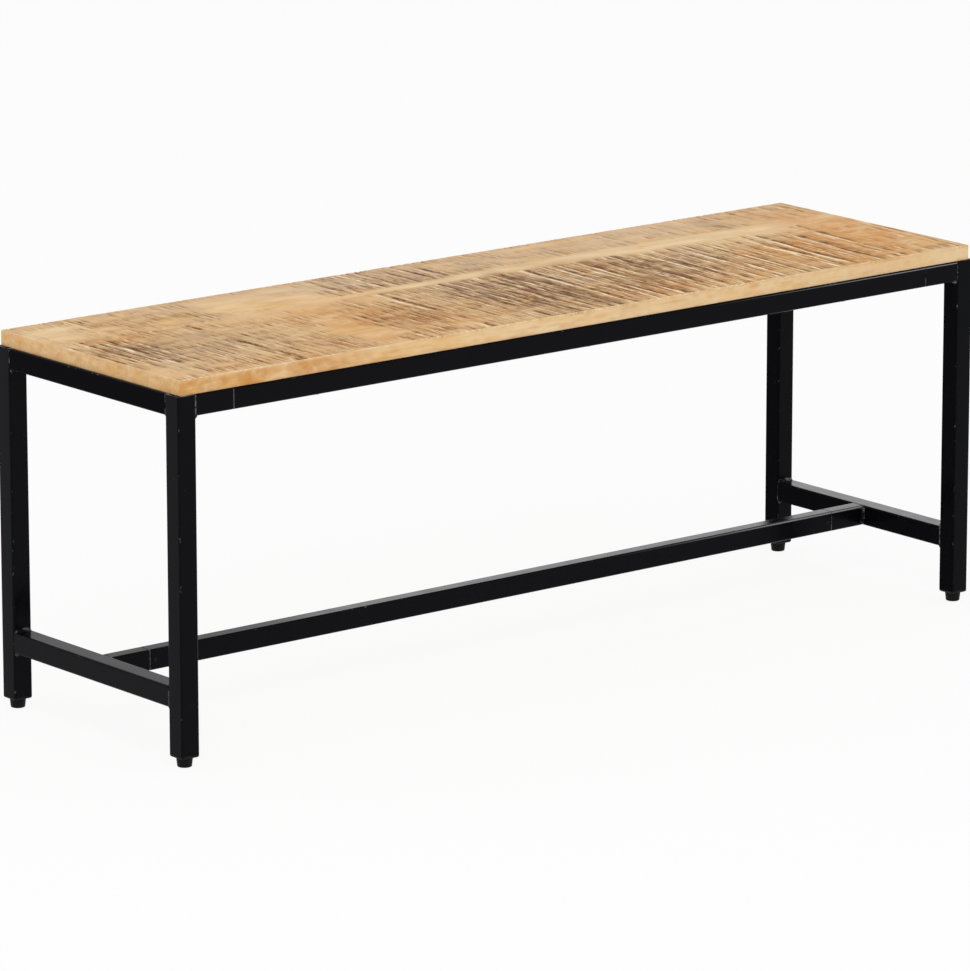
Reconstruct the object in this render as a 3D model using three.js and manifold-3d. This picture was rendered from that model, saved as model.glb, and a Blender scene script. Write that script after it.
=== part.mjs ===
// Entryway bench. Three glued hardwood boards lie on a knock-down frame of square steel tube: two welded
// end frames, joined by two top rails and a lower stretcher. The rails and the stretcher slide over
// connector bars held in short stubs on the end frames, and a small screw locks each one. A levelling
// foot screws into the plastic plug at the bottom of each leg.
//
// Millimetres. X runs along the bench, Y from the front to the back and Z up. The origin is on the floor,
// under the middle of the seat.

import * as THREE from 'three';
import { mergeVertices } from 'three/addons/utils/BufferGeometryUtils.js';
import Module from 'manifold-3d';

// ---------------------------------------------------------------- driving dimensions

// Seat
const SEAT_LENGTH = 1195;
const SEAT_DEPTH = 345;
const SEAT_HEIGHT = 448; // floor to the top of the boards
const BOARD_THICKNESS = 18;
const BOARD_NAMES = ['front', 'middle', 'back'];

// Steel tube
const END_MARGIN = 5; // the frame stands out past each end of the seat by this much
const SIDE_MARGIN = 2.5; // and past its front and back by this much
const TUBE_SIZE = 25;
const TUBE_WALL = 1.5;
const TUBE_CORNER = 2.5;
const STRETCHER_WIDTH = 20; // the lower stretcher is narrower than it is high
const STRETCHER_CLEARANCE = 68; // floor to the undersides of the stretchers

// Knock-down joints
const STUB_LENGTH = 52;
const SEAM_GAP = 0.8; // between a stub and the rail that meets it
const CONNECTOR_REACH = 42; // into the stub, and as far into the rail
const CONNECTOR_WALL = 2;
const FIT_CLEARANCE = 0.3; // round whatever slides in, seats or turns

// Screws that lock the rails to the connectors
const JOINT_SCREW_DIAMETER = 3;
const JOINT_SCREW_HEAD_DIAMETER = 5;
const JOINT_SCREW_HEAD_HEIGHT = 1;
const JOINT_SCREW_LENGTH = 7;
const JOINT_SCREW_INSET = 7; // from the end of the rail

// Screws that hold the seat, up through the rails
const SEAT_SCREW_DIAMETER = 4.5;
const SEAT_SCREW_HEAD_DIAMETER = 9;
const SEAT_SCREW_HEAD_HEIGHT = 2.6;
const SEAT_SCREW_BITE = 13; // into the board
const SEAT_SCREW_INSET = 125; // from the ends of the rails to their outer seat screws
const PILOT_EXTRA_DEPTH = 1;

// Leg plugs
const PLUG_FLANGE = 3;
const PLUG_DEPTH = 17;

// Levelling feet
const FOOT_HEIGHT = 11; // floor to the underside of the plug, with the foot screwed right in
const FOOT_TOP_DIAMETER = 19;
const FOOT_BASE_DIAMETER = 17;
const FOOT_EDGE_RADIUS = 1.2;
const FOOT_SOLE = 3;
const FOOT_TRAVEL = 10;
const STUD_DIAMETER = 8;
const STUD_HEAD_DIAMETER = 12;
const STUD_HEAD_HEIGHT = 3;
const STUD_CHAMFER = 1;
const STUD_GRIP = 12; // thread that is still in the plug at full travel

// Facets
const CORNER_STEPS = 2;
const HOLE_SIDES = 16;
const SCREW_SIDES = 12;
const FOOT_SIDES = 24;

// ---------------------------------------------------------------- derived places

const FRAME_LENGTH = SEAT_LENGTH + 2 * END_MARGIN;
const FRAME_DEPTH = SEAT_DEPTH + 2 * SIDE_MARGIN;
const SEAT_UNDERSIDE = SEAT_HEIGHT - BOARD_THICKNESS;
const BOARD_WIDTH = SEAT_DEPTH / BOARD_NAMES.length;

const LEG_X = (FRAME_LENGTH - TUBE_SIZE) / 2;
const LEG_Y = (FRAME_DEPTH - TUBE_SIZE) / 2;
const LEG_BOTTOM = FOOT_HEIGHT + PLUG_FLANGE;
const RAIL_Z = SEAT_UNDERSIDE - TUBE_SIZE / 2;
const RAIL_UNDERSIDE = SEAT_UNDERSIDE - TUBE_SIZE;
const STRETCHER_Z = STRETCHER_CLEARANCE + TUBE_SIZE / 2;

const CROSS_LENGTH = FRAME_DEPTH - 2 * TUBE_SIZE;
const STUB_OUTER_X = LEG_X - TUBE_SIZE / 2;
const STUB_X = STUB_OUTER_X - STUB_LENGTH / 2;
const SEAM_X = STUB_OUTER_X - STUB_LENGTH - SEAM_GAP / 2;
const RAIL_LENGTH = 2 * SEAM_X - SEAM_GAP;
const JOINT_SCREW_X = RAIL_LENGTH / 2 - JOINT_SCREW_INSET;
const SEAT_SCREW_X = RAIL_LENGTH / 2 - SEAT_SCREW_INSET;

const STUD_BOTTOM = FOOT_SOLE + FIT_CLEARANCE;
const STUD_TOP = FOOT_HEIGHT + STUD_GRIP + FOOT_TRAVEL;

// The three long runs: where each lies, how wide its tube is, and the side that its joint screws enter.
const RUNS = [
    { name: 'front', rail: 'front_rail', y: -LEG_Y, z: RAIL_Z, width: TUBE_SIZE, screwSide: 1, seat: true },
    { name: 'rear', rail: 'rear_rail', y: LEG_Y, z: RAIL_Z, width: TUBE_SIZE, screwSide: -1, seat: true },
    { name: 'lower', rail: 'lower_stretcher', y: 0, z: STRETCHER_Z, width: STRETCHER_WIDTH, screwSide: -1 },
];
const ENDS = [{ name: 'left', side: -1 }, { name: 'right', side: 1 }];
const ROWS = [{ name: 'front', side: -1 }, { name: 'rear', side: 1 }];

// ---------------------------------------------------------------- materials

const mangoWood = () => new THREE.MeshStandardMaterial({ color: 0xd2ab7c, roughness: 0.7 });
const blackPowderCoat = () => new THREE.MeshStandardMaterial({ color: 0x17181a, roughness: 0.45 });
const blackPlastic = () => new THREE.MeshStandardMaterial({ color: 0x0f0f10, roughness: 0.6 });
const blackenedSteel = () =>
  new THREE.MeshStandardMaterial({ color: 0x2c2c2e, roughness: 0.4, metalness: 1 });
const zincSteel = () => new THREE.MeshStandardMaterial({ color: 0xa9adb1, roughness: 0.35, metalness: 1 });

// ---------------------------------------------------------------- solids

const wasm = await Module();
wasm.setup();

function toSolid(geometry) {
    const bare = geometry.clone();
    bare.deleteAttribute('normal');
    bare.deleteAttribute('uv');
    const merged = mergeVertices(bare);
    return new wasm.Manifold(new wasm.Mesh({
        numProp: 3,
        vertProperties: new Float32Array(merged.attributes.position.array),
        triVerts: new Uint32Array(merged.index.array),
    }));
}

function toGeometry(solid) {
    const mesh = solid.getMesh();
    const geometry = new THREE.BufferGeometry();
    geometry.setAttribute('position', new THREE.BufferAttribute(mesh.vertProperties, 3));
    geometry.setIndex(new THREE.BufferAttribute(mesh.triVerts, 1));
    geometry.computeVertexNormals();
    return geometry;
}

function subtract(geometry, cutters) {
    let solid = toSolid(geometry);
    for (const cutter of cutters) solid = solid.subtract(toSolid(cutter));
    return toGeometry(solid);
}

// A round hole's cutter, from the point `start` along the axis 'x', 'y' or 'z' for a signed depth.
function drill(diameter, start, axis, depth) {
    const length = Math.abs(depth);
    const cutter = new THREE.CylinderGeometry(diameter / 2, diameter / 2, length, HOLE_SIDES);
    if (axis === 'x') cutter.rotateZ(Math.PI / 2);
    if (axis === 'z') cutter.rotateX(Math.PI / 2);
    const middle = { ...start };
    middle[axis] += depth / 2;
    return cutter.translate(middle.x, middle.y, middle.z);
}

function roundedRectangle(width, height, radius) {
    const x = width / 2 - radius;
    const y = height / 2 - radius;
    const outline = new THREE.Shape();
    outline.absarc(x, -y, radius, -Math.PI / 2, 0);
    outline.absarc(x, y, radius, 0, Math.PI / 2);
    outline.absarc(-x, y, radius, Math.PI / 2, Math.PI);
    outline.absarc(-x, -y, radius, Math.PI, 1.5 * Math.PI);
    return outline;
}

function rectangle(width, height) {
    const x = width / 2;
    const y = height / 2;
    return new THREE.Path([[-x, -y], [x, -y], [x, y], [-x, y]].map(([u, v]) => new THREE.Vector2(u, v)));
}

// A closed outline as a bar along X, centred on the origin, with the outline's width on Y and height on Z.
function bar(outline, length) {
    const geometry = new THREE.ExtrudeGeometry(outline, {
        depth: length, bevelEnabled: false, curveSegments: CORNER_STEPS,
    });
    const turn = new THREE.Matrix4().makeBasis(
        new THREE.Vector3(0, 1, 0), new THREE.Vector3(0, 0, 1), new THREE.Vector3(1, 0, 0));
    return geometry.translate(0, 0, -length / 2).applyMatrix4(turn);
}

// A rectangular tube along X, open at both ends.
function tube(length, width, height, wall, corner) {
    const outline = roundedRectangle(width, height, corner);
    outline.holes.push(rectangle(width - 2 * wall, height - 2 * wall));
    return bar(outline, length);
}

function steelTube(length, width = TUBE_SIZE) {
    return tube(length, width, TUBE_SIZE, TUBE_WALL, TUBE_CORNER);
}

// A solid of revolution about Z. The profile runs from the axis at the bottom to the axis at the top.
function turned(profile, sides) {
    const points = profile.map(([radius, height]) => new THREE.Vector2(radius, height));
    return new THREE.LatheGeometry(points, sides).rotateX(Math.PI / 2);
}

function quarterArc(centreRadius, centreHeight, radius, steps) {
    return Array.from({ length: steps + 1 }, (_, step) => {
        const angle = (step / steps - 1) * Math.PI / 2;
        return [centreRadius + radius * Math.cos(angle), centreHeight + radius * Math.sin(angle)];
    });
}

// ---------------------------------------------------------------- scene helpers

function piece(name, geometry, material, x, y, z) {
    const mesh = new THREE.Mesh(geometry, material);
    mesh.name = name;
    mesh.position.set(x, y, z);
    return mesh;
}

function alongY(mesh) {
    mesh.rotation.z = Math.PI / 2;
    return mesh;
}

function alongZ(mesh) {
    mesh.rotation.y = Math.PI / 2;
    return mesh;
}

// ---------------------------------------------------------------- seat

// Where the seat screws stand, in plan.
function seatScrewPlaces() {
    const onRails = RUNS.filter((run) => run.seat).flatMap((run) => [-1, 0, 1].map((step) => ({
        name: `${run.name}_${['left', 'middle', 'right'][step + 1]}`,
        x: step * SEAT_SCREW_X,
        y: run.y,
    })));
    const onEnds = ENDS.map((end) => ({ name: `${end.name}_end`, x: end.side * LEG_X, y: 0 }));
    return [...onRails, ...onEnds];
}

function seatBoards() {
    const seat = new THREE.Group();
    seat.position.z = SEAT_UNDERSIDE + BOARD_THICKNESS / 2;
    BOARD_NAMES.forEach((name, index) => {
        const y = (index - (BOARD_NAMES.length - 1) / 2) * BOARD_WIDTH;
        const pilots = seatScrewPlaces()
            .filter((place) => Math.abs(place.y - y) < BOARD_WIDTH / 2)
            .map((place) => drill(
                SEAT_SCREW_DIAMETER + 2 * FIT_CLEARANCE,
                { x: place.x, y: place.y - y, z: -BOARD_THICKNESS },
                'z', BOARD_THICKNESS / 2 + SEAT_SCREW_BITE + PILOT_EXTRA_DEPTH));
        const blank = new THREE.BoxGeometry(SEAT_LENGTH, BOARD_WIDTH, BOARD_THICKNESS);
        seat.add(piece(`seat_board_${name}`, subtract(blank, pilots), mangoWood(), 0, y, 0));
    });
    return seat;
}

// ---------------------------------------------------------------- end frames

function leg(name, y) {
    const length = SEAT_UNDERSIDE - LEG_BOTTOM;
    return alongZ(piece(name, steelTube(length), blackPowderCoat(), 0, y, LEG_BOTTOM + length / 2));
}

// Two legs, the cross rail under the seat, the end stretcher, and the stubs that the long runs meet.
function endFrame({ name, side }) {
    const frame = new THREE.Group();
    frame.position.x = side * LEG_X;
    for (const row of ROWS) frame.add(leg(`leg_${row.name}_${name}`, row.side * LEG_Y));

    const seatScrewHole = drill(
        SEAT_SCREW_DIAMETER + 2 * FIT_CLEARANCE, { x: 0, y: 0, z: -TUBE_SIZE }, 'z', 2 * TUBE_SIZE);
    const crossRail = subtract(steelTube(CROSS_LENGTH), [seatScrewHole]);
    frame.add(alongY(piece(`cross_rail_${name}`, crossRail, blackPowderCoat(), 0, 0, RAIL_Z)));
    frame.add(alongY(piece(
        `end_stretcher_${name}`, steelTube(CROSS_LENGTH), blackPowderCoat(), 0, 0, STRETCHER_Z)));

    for (const run of RUNS) {
        const stub = steelTube(STUB_LENGTH, run.width);
        frame.add(piece(
            `stub_${run.name}_${name}`, stub, blackPowderCoat(), side * (STUB_X - LEG_X), run.y, run.z));
    }
    return frame;
}

// ---------------------------------------------------------------- long runs

function longRun(run) {
    const holes = [-1, 1].map((side) => drill(
        JOINT_SCREW_DIAMETER + 2 * FIT_CLEARANCE,
        { x: side * JOINT_SCREW_X, y: 0, z: 0 }, 'y', run.screwSide * run.width));
    if (run.seat) {
        for (const step of [-1, 0, 1]) {
            holes.push(drill(
                SEAT_SCREW_DIAMETER + 2 * FIT_CLEARANCE,
                { x: step * SEAT_SCREW_X, y: 0, z: -TUBE_SIZE }, 'z', 2 * TUBE_SIZE));
        }
    }
    const geometry = subtract(steelTube(RAIL_LENGTH, run.width), holes);
    return piece(run.rail, geometry, blackPowderCoat(), 0, run.y, run.z);
}

// The bar inside a stub and the rail that meets it, with the hole that the joint screw bites into.
function connector(run, end) {
    const inside = 2 * (TUBE_WALL + FIT_CLEARANCE);
    const width = run.width - inside;
    const height = TUBE_SIZE - inside;
    const screwX = -end.side * (SEAM_X - JOINT_SCREW_X);
    const hole = drill(
        JOINT_SCREW_DIAMETER + 2 * FIT_CLEARANCE,
        { x: screwX, y: 0, z: 0 }, 'y', run.screwSide * width);
    const blank = tube(2 * CONNECTOR_REACH + SEAM_GAP, width, height, CONNECTOR_WALL, CONNECTOR_WALL / 2);
    return piece(
        `connector_${run.name}_${end.name}`, subtract(blank, [hole]), blackPowderCoat(),
        end.side * SEAM_X, run.y, run.z);
}

// ---------------------------------------------------------------- screws

// A low round-headed screw that points up, with its head under the origin and a recess for the driver.
function screw(diameter, length, headDiameter, headHeight) {
    const radius = diameter / 2;
    const headRadius = headDiameter / 2;
    const blank = turned([
        [0, -headHeight],
        [headRadius * 0.7, -headHeight],
        [headRadius, -headHeight * 0.45],
        [headRadius, 0],
        [radius, 0],
        [radius, length - diameter],
        [0, length],
    ], SCREW_SIDES);
    const slot = diameter / 4;
    const recess = [[headDiameter / 2, slot], [slot, headDiameter / 2]].map(([x, y]) => (
        new THREE.BoxGeometry(x, y, headHeight).translate(0, 0, -headHeight)));
    return subtract(blank, recess);
}

function seatScrews() {
    const screws = new THREE.Group();
    screws.position.z = RAIL_UNDERSIDE;
    for (const place of seatScrewPlaces()) {
        const length = TUBE_SIZE + SEAT_SCREW_BITE;
        const geometry = screw(
            SEAT_SCREW_DIAMETER, length, SEAT_SCREW_HEAD_DIAMETER, SEAT_SCREW_HEAD_HEIGHT);
        screws.add(piece(`seat_screw_${place.name}`, geometry, zincSteel(), place.x, place.y, 0));
    }
    return screws;
}

function jointScrew(run, end) {
    const geometry = screw(
        JOINT_SCREW_DIAMETER, JOINT_SCREW_LENGTH, JOINT_SCREW_HEAD_DIAMETER, JOINT_SCREW_HEAD_HEIGHT);
    const mesh = piece(
        `joint_screw_${run.name}_${end.name}`, geometry, blackenedSteel(),
        end.side * JOINT_SCREW_X, run.y + run.screwSide * run.width / 2, run.z);
    mesh.rotation.x = run.screwSide * Math.PI / 2;
    return mesh;
}

// ---------------------------------------------------------------- feet

// The plug that closes a leg: a flange under the tube, a body inside it and a threaded bore through both.
function plugGeometry() {
    const flange = bar(roundedRectangle(TUBE_SIZE, TUBE_SIZE, TUBE_CORNER), PLUG_FLANGE);
    flange.rotateY(-Math.PI / 2).translate(0, 0, PLUG_FLANGE / 2);
    const bodySize = TUBE_SIZE - 2 * (TUBE_WALL + FIT_CLEARANCE);
    const body = new THREE.BoxGeometry(bodySize, bodySize, PLUG_DEPTH + PLUG_FLANGE / 2);
    body.translate(0, 0, PLUG_FLANGE + (PLUG_DEPTH - PLUG_FLANGE / 2) / 2);
    const bore = drill(
        STUD_DIAMETER + 2 * FIT_CLEARANCE, { x: 0, y: 0, z: -PLUG_FLANGE }, 'z',
        PLUG_DEPTH + 3 * PLUG_FLANGE);
    return toGeometry(toSolid(flange).add(toSolid(body)).subtract(toSolid(bore)));
}

// The stud's head is held in a pocket of the base, under the base's lip.
function studGeometry() {
    const radius = STUD_DIAMETER / 2;
    const headRadius = STUD_HEAD_DIAMETER / 2;
    const headTop = STUD_BOTTOM + STUD_HEAD_HEIGHT;
    return turned([
        [0, STUD_BOTTOM],
        [headRadius, STUD_BOTTOM],
        [headRadius, headTop],
        [radius, headTop],
        [radius, STUD_TOP - STUD_CHAMFER],
        [radius - STUD_CHAMFER, STUD_TOP],
        [0, STUD_TOP],
    ], FOOT_SIDES);
}

function footBaseGeometry() {
    const baseRadius = FOOT_BASE_DIAMETER / 2;
    const top = FOOT_HEIGHT - FIT_CLEARANCE;
    const pocketRadius = STUD_HEAD_DIAMETER / 2 + FIT_CLEARANCE;
    const pocketTop = STUD_BOTTOM + STUD_HEAD_HEIGHT + FIT_CLEARANCE;
    const neckRadius = STUD_DIAMETER / 2 + FIT_CLEARANCE;
    return turned([
        [0, 0],
        ...quarterArc(baseRadius - FOOT_EDGE_RADIUS, FOOT_EDGE_RADIUS, FOOT_EDGE_RADIUS, 3),
        [FOOT_TOP_DIAMETER / 2, top],
        [neckRadius, top],
        [neckRadius, pocketTop],
        [pocketRadius, pocketTop],
        [pocketRadius, FOOT_SOLE],
        [0, FOOT_SOLE],
    ], FOOT_SIDES);
}

function foot(row, end) {
    const corner = `${row.name}_${end.name}`;
    const group = new THREE.Group();
    group.position.set(end.side * LEG_X, row.side * LEG_Y, 0);
    group.add(piece(`leg_plug_${corner}`, plugGeometry(), blackPlastic(), 0, 0, FOOT_HEIGHT));
    group.add(piece(`foot_stud_${corner}`, studGeometry(), zincSteel(), 0, 0, 0));
    group.add(piece(`foot_base_${corner}`, footBaseGeometry(), blackPlastic(), 0, 0, 0));
    return group;
}

// ---------------------------------------------------------------- assembly

const bench = new THREE.Group();
bench.add(seatBoards(), seatScrews());
for (const end of ENDS) {
    bench.add(endFrame(end));
    for (const run of RUNS) bench.add(connector(run, end), jointScrew(run, end));
    for (const row of ROWS) bench.add(foot(row, end));
}
for (const run of RUNS) bench.add(longRun(run));

export default bench;
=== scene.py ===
"""Entryway bench: three rough-sawn mango boards on a black powder-coated frame of square steel tube.

Every length in the settings is in metres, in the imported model's own frame: X along the bench, Y from the
front to the back, Z up, and the origin on the floor under the middle of the seat.
"""

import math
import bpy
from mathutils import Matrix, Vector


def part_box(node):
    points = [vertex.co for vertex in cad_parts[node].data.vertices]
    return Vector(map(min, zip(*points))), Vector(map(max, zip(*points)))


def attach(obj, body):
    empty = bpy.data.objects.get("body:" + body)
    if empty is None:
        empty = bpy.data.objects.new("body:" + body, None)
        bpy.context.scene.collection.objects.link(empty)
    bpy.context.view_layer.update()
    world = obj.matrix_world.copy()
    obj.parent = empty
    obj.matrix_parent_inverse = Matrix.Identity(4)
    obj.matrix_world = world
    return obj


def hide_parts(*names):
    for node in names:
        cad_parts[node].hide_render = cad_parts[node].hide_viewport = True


bl_info = {
    "name": "Entryway Bench",
    "version": (1, 0, 0),
    "blender": (4, 5, 0),
    "location": "View3D > Sidebar > Bench",
    "description": "Builds the finished surfaces of a plank-seated entryway bench around its packed frame",
    "category": "Object",
}

import bmesh
import bpy
import numpy as np
from bpy.props import FloatProperty, FloatVectorProperty, PointerProperty
from mathutils import Matrix, Vector

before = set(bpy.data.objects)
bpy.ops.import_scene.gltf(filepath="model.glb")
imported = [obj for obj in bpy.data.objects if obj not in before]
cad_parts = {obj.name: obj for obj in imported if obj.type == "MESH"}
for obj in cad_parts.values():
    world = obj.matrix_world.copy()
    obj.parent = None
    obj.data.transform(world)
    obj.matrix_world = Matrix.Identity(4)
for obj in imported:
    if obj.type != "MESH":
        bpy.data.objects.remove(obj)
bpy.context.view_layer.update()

MM = 0.001
ROWS = ("front", "rear")
ENDS = ("left", "right")
BENCH = "bench"  # the body that every fixed piece rides on
VERT, EDGE = bmesh.types.BMVert, bmesh.types.BMEdge

AXES = {"x": Vector((1, 0, 0)), "y": Vector((0, 1, 0)), "z": Vector((0, 0, 1))}


# ------------------------------------------------------------------------------ settings


def srgb(text):
    """An sRGB hex colour such as "c8a070" as linear red, green and blue."""
    channels = [int(text[i : i + 2], 16) / 255 for i in (0, 2, 4)]
    return tuple(c / 12.92 if c <= 0.04045 else ((c + 0.055) / 1.055) ** 2.4 for c in channels)


def length(name, description, millimetres):
    return FloatProperty(
        name=name, description=description, default=millimetres * MM, min=0, unit="LENGTH", precision=5
    )


def colour(name, description, text):
    return FloatVectorProperty(
        name=name, description=description, default=srgb(text), size=3, min=0, max=1, subtype="COLOR"
    )


def fraction(name, description, value):
    return FloatProperty(name=name, description=description, default=value, min=0, max=1)


def degrees(name, description, value):
    radians = math.radians(value)
    return FloatProperty(name=name, description=description, default=radians, subtype="ANGLE")


class BenchWoodSettings(bpy.types.PropertyGroup):
    arris_radius: length("Arris radius", "Rounding of the seat's outer edges", 1.0)
    grid_step: length("Grid step", "Distance between the mesh's columns along a board", 1.1)
    mark_spacing: length("Mark spacing", "Average distance from one main saw mark to the next", 14)
    mark_width: length("Mark width", "Half width of a deep saw mark", 3.4)
    mark_depth: length("Mark depth", "Depth of the deepest saw mark", 0.7)
    tan: colour("Tan", "Fresh mango wood, the body of each board", "ecca99")
    honey: colour("Honey", "Golden early wood between the darker grain lines", "e8bb7d")
    grain: colour("Grain", "Darker grain lines and pores", "b3854f")
    brown: colour("Brown", "Dirt that the rough-sawn fibres hold", "b58450")
    cream: colour("Cream", "Pale sapwood beside the back glue line and on the front edge", "efd4aa")
    blush: colour("Blush", "Paler, pinkish wood of the back board", "dcbea2")
    grey: colour("Grey stain", "Grey-brown weathered patches", "a98d70")
    umber: colour("Umber stain", "Dark brown patches of heartwood", "7c5637")
    amber: colour("Amber stain", "Orange-brown patches at the right end", "cf8c40")
    # Kerf: dirt with painted shade in a saw mark's groove. Ridge: pale torn fibres with a painted highlight.
    kerf: colour("Kerf", "Dirt and burn at the bottom of a saw mark", "603d20")
    ridge: colour("Ridge", "Torn fibres on the raised side of a saw mark", "fbe5bf")


class BenchSteelSettings(bpy.types.PropertyGroup):
    wall: length("Wall", "Wall thickness of the tubes", 1.5)
    corner: length("Corner radius", "Outer corner radius of the tubes", 2.5)
    rim: length("Rim", "Small chamfer round the cut ends of the tubes", 0.5)
    fillet: length("Fillet", "Leg length of the fillet welds in the inner corners", 4.2)
    flush: length("Flush weld", "Radius of the ground-down beads between flush faces", 1.5)
    ripple: length("Ripple", "Distance between the ripples of a weld bead", 1.6)
    shine: fraction("Shine", "Specular level of the powder coat", 0.05)
    # The lower level is painted shade, on some tubes' left-looking sides and on the tops under the seat.
    dull: fraction("Dull", "Specular level where the coat is flatter", 0.01)
    coat: colour("Coat", "Black powder coat", "09090d")
    # Bare steel also paints the glint along the upper front arris of some tubes.
    bare: colour("Bare steel", "Steel that shows where the coat is scuffed", "85868a")
    plastic: colour("Plastic", "Black moulded polyethylene", "0f0f10")
    zinc: colour("Zinc", "Bright zinc plate", "b4b7ba")
    oxide: colour("Black oxide", "Blackened screw heads", "242426")


class BenchStageSettings(bpy.types.PropertyGroup):
    azimuth: degrees("Azimuth", "Where the camera stands, round the bench", -39.076)
    elevation: degrees("Elevation", "Height of the camera above the horizon", 13.562)
    roll: degrees("Roll", "Tilt of the camera", -0.039)
    distance: length("Distance", "From the camera to the point that it looks at", 7949.4)
    aim: FloatVectorProperty(
        name="Aim", description="The point that the camera looks at", default=(-0.01604, 0.00713, 0.20605),
        size=3, subtype="TRANSLATION",
    )
    lens: FloatProperty(name="Lens", description="Focal length in millimetres", default=247.37, min=1)
    key: FloatProperty(name="Key", description="Power of the large soft key light, in watts", default=32)
    panel: FloatProperty(
        name="Panel", description="Power of the reflection-only panel that shines in the steel's top faces",
        default=4.5,
    )
    sky: FloatProperty(name="Sky", description="Strength of the even light from all round", default=0.8)
    whiteness: fraction("Whiteness", "How much of the floor's look is plain white, without shadow", 0.9)
    floor_size: length("Floor size", "Width of the round studio floor", 12000)
    paper: colour("Paper", "White studio floor", "f2f2f2")


# ------------------------------------------------------------------------------ pieces


def mesh_piece(name, bm, material, replaces=(), body=BENCH):
    """A finished piece at the origin, riding on its body, with its normals facing out."""
    bmesh.ops.recalc_face_normals(bm, faces=bm.faces)
    mesh = bpy.data.meshes.new(name)
    bm.to_mesh(mesh)
    bm.free()
    mesh.materials.append(material)
    piece = bpy.data.objects.new(name, mesh)
    bpy.context.scene.collection.objects.link(piece)
    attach(piece, body)
    if replaces:
        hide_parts(*replaces)
    return piece


def smooth(piece, angle=math.radians(40)):
    """Smooth shading that stays sharp at real edges and flat on flat faces."""
    piece.data.shade_smooth()
    piece.data.set_sharp_from_angle(angle=angle)
    weighted = piece.modifiers.new("Weighted normals", "WEIGHTED_NORMAL")
    weighted.keep_sharp = True
    weighted.weight = 90


def edges_along(bm, axis):
    """The straight edges that run along an axis."""
    found = []
    for edge in bm.edges:
        direction = (edge.verts[1].co - edge.verts[0].co).normalized()
        if abs(direction.dot(axis)) > 0.999:
            found.append(edge)
    return found


def only(items, kind):
    return [item for item in items if isinstance(item, kind)]


def faces_facing(bm, direction, least=0.999):
    bm.normal_update()
    return [face for face in bm.faces if face.normal.dot(direction) > least]


def bevel(bm, edges, offset, segments):
    return bmesh.ops.bevel(
        bm, geom=edges, offset=offset, offset_type="OFFSET", affect="EDGES", segments=segments,
        profile=0.5, material=-1,
    )


def box_mesh(low, high):
    bm = bmesh.new()
    bmesh.ops.create_cube(bm, size=1)
    bmesh.ops.scale(bm, vec=high - low, verts=bm.verts)
    bmesh.ops.translate(bm, vec=(low + high) / 2, verts=bm.verts)
    return bm


def revolve(bm, profile, centre, segments):
    """A closed solid of revolution about Z through centre, from (radius, height) pairs.

    The profile runs from the axis at the bottom, round the outside, to the axis or an open ring on top.
    """
    verts = [bm.verts.new((centre.x + r, centre.y, centre.z + h)) for r, h in profile]
    edges = [bm.edges.new(pair) for pair in zip(verts, verts[1:])]
    bmesh.ops.spin(
        bm, geom=verts + edges, cent=centre, axis=AXES["z"], angle=math.tau, steps=segments,
        use_merge=True, use_duplicate=False,
    )
    bmesh.ops.remove_doubles(bm, verts=bm.verts, dist=1e-7)
    bmesh.ops.recalc_face_normals(bm, faces=bm.faces)


def arc(centre_radius, centre_height, radius, start, end, steps):
    """Points of a quarter-round in a profile, between two angles in degrees."""
    angles = [math.radians(start + (end - start) * i / steps) for i in range(steps + 1)]
    return [(centre_radius + radius * math.cos(a), centre_height + radius * math.sin(a)) for a in angles]


# ------------------------------------------------------------------------------ materials


def add_node(tree, kind, inputs=None, out=0, **settings):
    """Adds a shader node, sets its properties and inputs, and returns one of its output sockets.

    An input is named or numbered, and its value is a plain value or another node's output socket.
    """
    node = tree.nodes.new("ShaderNode" + kind)
    for key, value in settings.items():
        setattr(node, key, value)
    for key, value in (inputs or {}).items():
        if isinstance(value, bpy.types.NodeSocket):
            tree.links.new(value, node.inputs[key])
        else:
            node.inputs[key].default_value = value
    return None if out is None else node.outputs[out]


def empty_tree(library, name):
    """A new material or world, and its cleared node tree."""
    owner = library.new(name)
    owner.use_nodes = True
    owner.node_tree.nodes.clear()
    return owner, owner.node_tree


def opaque(colour_value):
    return (*colour_value[:3], 1)


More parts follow.
